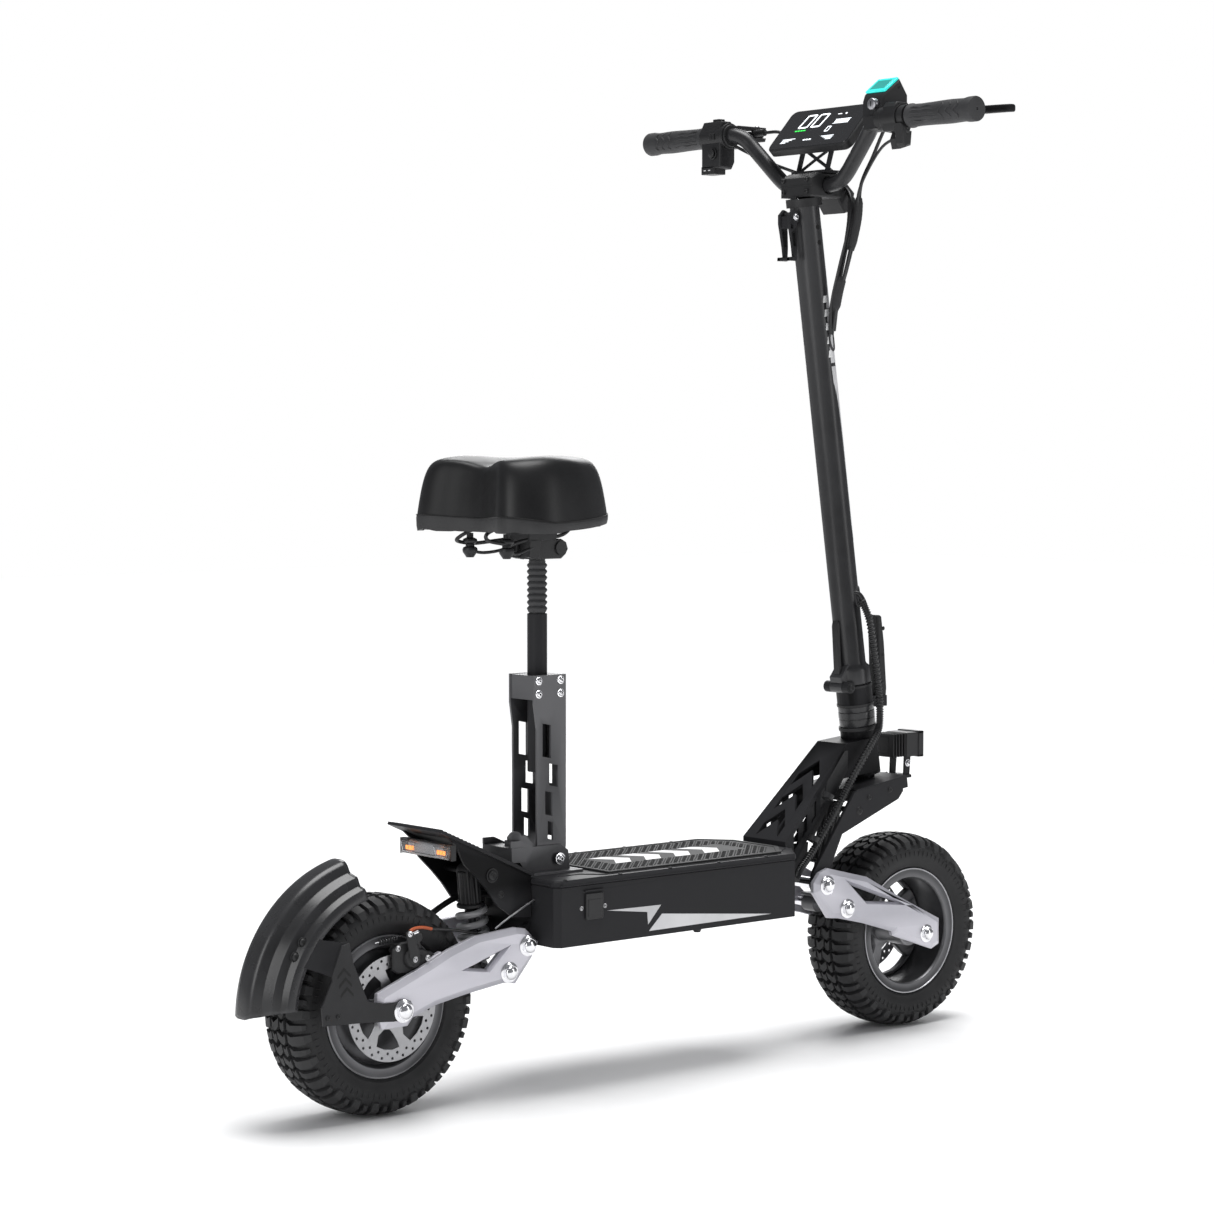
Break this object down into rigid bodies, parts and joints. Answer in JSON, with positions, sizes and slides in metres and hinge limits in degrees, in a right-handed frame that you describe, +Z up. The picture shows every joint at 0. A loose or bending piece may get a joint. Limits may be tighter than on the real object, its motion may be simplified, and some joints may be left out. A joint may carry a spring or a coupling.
{
  "type": "electric kick scooter with seat",
  "caption": "Folding electric kick scooter with a flat deck, fat knobby tyres, swing-arm suspension, disc brakes, a tall stem with a risen handlebar, and a sprung saddle on a folding mast.",
  "frame": {"origin": "on the floor under the middle of the object's box", "axes": "+X towards the front wheel, +Y to the rider's left, +Z up"},
  "size_m": [1.314, 0.682, 1.3948],
  "materials": {
    "black_alloy": "satin black powder coat",
    "black_paint": "satin black powder coat",
    "dark_metal": "dark grey satin coat",
    "dark_alloy": "dark grey satin coat",
    "silver_paint": "pale silver satin coat",
    "steel": "brushed",
    "chrome": "polished",
    "rubber": "matt",
    "tread": "matt",
    "plastic": "matt black",
    "grey_coil": "grey coating",
    "leather": "semi-matt black",
    "display_glass": "gloss black",
    "lens": "clear over amber",
    "aluminium": "extruded",
    "battery": "blue shrink wrap"
  },
  "bodies": {
    "chassis": {"deck_tray": "black_alloy", "deck_cover": "black_alloy", "battery_pack": "battery", "motor_controller": "aluminium", "neck_frame": "black_alloy", "tail_frame": "black_paint", "tail_light": "lens", "mast_base": "dark_metal", "rear_pivot_shaft": "chrome", "main_loom": "plastic"},
    "charge_flap": {"charge_flap": "rubber"},
    "kickstand": {"kickstand": "black_paint"},
    "fork": {"fork_frame": "black_alloy", "steerer": "black_alloy", "headlight": "plastic", "front_pivot_shaft": "chrome"},
    "fold_lever": {"fold_lever": "dark_metal"},
    "stem": {"stem_tube": "black_alloy", "handlebar": "black_alloy", "bar_clamp": "black_alloy", "display": "display_glass", "left_grip": "rubber", "right_grip": "rubber", "switch_pod": "plastic", "throttle_pod": "plastic", "key_module": "plastic"},
    "stem_hook": {"stem_hook": "black_alloy"},
    "left_brake_lever": {"left_brake_lever": "black_alloy"},
    "right_brake_lever": {"right_brake_lever": "black_alloy"},
    "thumb_throttle": {"thumb_throttle": "plastic"},
    "key_barrel": {"key_barrel": "steel"},
    "horn_button": {"horn_button": "plastic"},
    "turn_switch": {"turn_switch": "plastic"},
    "rear_arm": {"rear_arm_left": "silver_paint", "rear_arm_right": "silver_paint", "rear_axle": "chrome", "rear_cross_bolt": "chrome", "rear_fender": "plastic", "fender_bracket_left": "black_paint", "fender_bracket_right": "black_paint", "rear_caliper": "dark_alloy"},
    "rear_wheel": {"rear_tyre": "tread", "rear_hub_motor": "dark_alloy", "rear_disc": "steel"},
    "rear_shock_body": {"rear_shock_body": "plastic", "rear_spring": "grey_coil"},
    "rear_shock_rod": {"rear_shock_rod": "dark_metal"},
    "front_arm": {"front_arm_left": "silver_paint", "front_arm_right": "silver_paint", "front_axle": "chrome", "front_cross_bolt": "chrome"},
    "front_wheel": {"front_tyre": "tread", "front_rim": "dark_alloy", "front_disc": "steel"},
    "front_shock_body": {"front_shock_body": "plastic"},
    "front_shock_rod": {"front_shock_rod": "dark_metal"},
    "seat_mast": {"mast_frame": "dark_metal"},
    "seat_post": {"seat_post": "black_paint"},
    "saddle_rod": {"saddle_rod": "black_paint"},
    "saddle": {"saddle": "leather"}
  },
  "joints": [
    {"name": "steer", "type": "hinge", "parent": "chassis", "child": "fork", "pos_m": [0.442, 0, 0.434], "axis": [-0.1469, 0, 0.9891], "range_deg": [-40, 40]},
    {"name": "stem_fold", "type": "hinge", "parent": "fork", "child": "stem", "pos_m": [0.4, 0, 0.5155], "axis": [0, 1, 0], "range_deg": [-40, 0]},
    {"name": "fold_lever_turn", "type": "hinge", "parent": "fork", "child": "fold_lever", "pos_m": [0.478, 0, 0.492], "axis": [0, 1, 0], "range_deg": [0, 100]},
    {"name": "stem_hook_swing", "type": "hinge", "parent": "stem", "child": "stem_hook", "pos_m": [0.296, 0, 1.203], "axis": [0, 1, 0], "range_deg": [0, 60]},
    {"name": "left_brake_pull", "type": "hinge", "parent": "stem", "child": "left_brake_lever", "pos_m": [0.385, 0.166, 1.34], "axis": [0, 0, 1], "range_deg": [0, 12], "stiffness_Nm_per_rad": 2, "springref_deg": -11.46},
    {"name": "right_brake_pull", "type": "hinge", "parent": "stem", "child": "right_brake_lever", "pos_m": [0.385, -0.166, 1.34], "axis": [0, 0, 1], "range_deg": [-12, 0], "stiffness_Nm_per_rad": 2, "springref_deg": 11.46},
    {"name": "thumb_throttle_turn", "type": "hinge", "parent": "stem", "child": "thumb_throttle", "pos_m": [0.325, -0.2062, 1.334], "axis": [0, 1, 0], "range_deg": [-35, 0], "stiffness_Nm_per_rad": 0.2, "springref_deg": 17.19},
    {"name": "key_turn", "type": "hinge", "parent": "stem", "child": "key_barrel", "pos_m": [0.3175, -0.15, 1.355], "axis": [1, 0, 0], "range_deg": [0, 90]},
    {"name": "horn_press", "type": "slide", "parent": "stem", "child": "horn_button", "axis": [1, 0, 0], "range_m": [0, 0.0022], "stiffness_N_per_m": 400, "springref_m": -0.001},
    {"name": "turn_switch_slide", "type": "slide", "parent": "stem", "child": "turn_switch", "axis": [0, 0, 1], "range_m": [-0.004, 0.004]},
    {"name": "rear_suspension", "type": "hinge", "parent": "chassis", "child": "rear_arm", "pos_m": [-0.249, 0, 0.2075], "axis": [0, 1, 0], "range_deg": [-3, 9], "stiffness_Nm_per_rad": 400, "springref_deg": -3.9},
    {"name": "rear_wheel_spin", "type": "hinge", "parent": "rear_arm", "child": "rear_wheel", "pos_m": [-0.457, 0, 0.145], "axis": [0, 1, 0], "continuous": true},
    {"name": "rear_shock_swing", "type": "hinge", "parent": "chassis", "child": "rear_shock_body", "pos_m": [-0.2934, 0, 0.3035], "axis": [0, 1, 0], "range_deg": [-1.28, 2.64]},
    {"name": "rear_shock_slide", "type": "slide", "parent": "rear_shock_body", "child": "rear_shock_rod", "axis": [-0.0961, 0, 0.9954], "range_m": [-0.00243, 0.00629], "deforming": ["rear_spring"]},
    {"name": "front_suspension", "type": "hinge", "parent": "fork", "child": "front_arm", "pos_m": [0.306, 0, 0.2365], "axis": [0, -1, 0], "range_deg": [-3, 9], "stiffness_Nm_per_rad": 400, "springref_deg": -3.9},
    {"name": "front_wheel_spin", "type": "hinge", "parent": "front_arm", "child": "front_wheel", "pos_m": [0.512, 0, 0.145], "axis": [0, 1, 0], "continuous": true},
    {"name": "front_shock_swing", "type": "hinge", "parent": "fork", "child": "front_shock_body", "pos_m": [0.385, 0, 0.3375], "axis": [0, -1, 0], "range_deg": [-1.14, 2.21]},
    {"name": "front_shock_slide", "type": "slide", "parent": "front_shock_body", "child": "front_shock_rod", "axis": [0.2637, 0, 0.9646], "range_m": [-0.0032, 0.00859]},
    {"name": "seat_fold", "type": "hinge", "parent": "chassis", "child": "seat_mast", "pos_m": [-0.163, 0, 0.313], "axis": [0, 1, 0], "range_deg": [0, 50]},
    {"name": "seat_height", "type": "slide", "parent": "seat_mast", "child": "seat_post", "axis": [0, 0, 1], "range_m": [-0.08, 0.06]},
    {"name": "seat_suspension", "type": "slide", "parent": "seat_post", "child": "saddle_rod", "axis": [0, 0, 1], "range_m": [-0.025, 0], "stiffness_N_per_m": 9000, "springref_m": 0.0055},
    {"name": "saddle_tilt", "type": "hinge", "parent": "saddle_rod", "child": "saddle", "pos_m": [-0.165, 0, 0.737], "axis": [0, 1, 0], "range_deg": [-8, 8]},
    {"name": "kickstand_turn", "type": "hinge", "parent": "chassis", "child": "kickstand", "pos_m": [0.013, 0.1125, 0.196], "axis": [0, -0.9659, -0.2588], "range_deg": [0, 90]},
    {"name": "charge_flap_turn", "type": "hinge", "parent": "chassis", "child": "charge_flap", "pos_m": [-0.1618, -0.1068, 0.2735], "axis": [-1, 0, 0], "range_deg": [0, 100]}
  ],
  "couplings": [
    {"joint": "rear_shock_swing", "follows": "rear_suspension", "ratio": 0.22678},
    {"joint": "rear_shock_slide", "follows": "rear_suspension", "m_per_rad": 0.034974},
    {"joint": "front_shock_swing", "follows": "front_suspension", "ratio": 0.17934},
    {"joint": "front_shock_slide", "follows": "front_suspension", "m_per_rad": 0.04957}
  ]
}
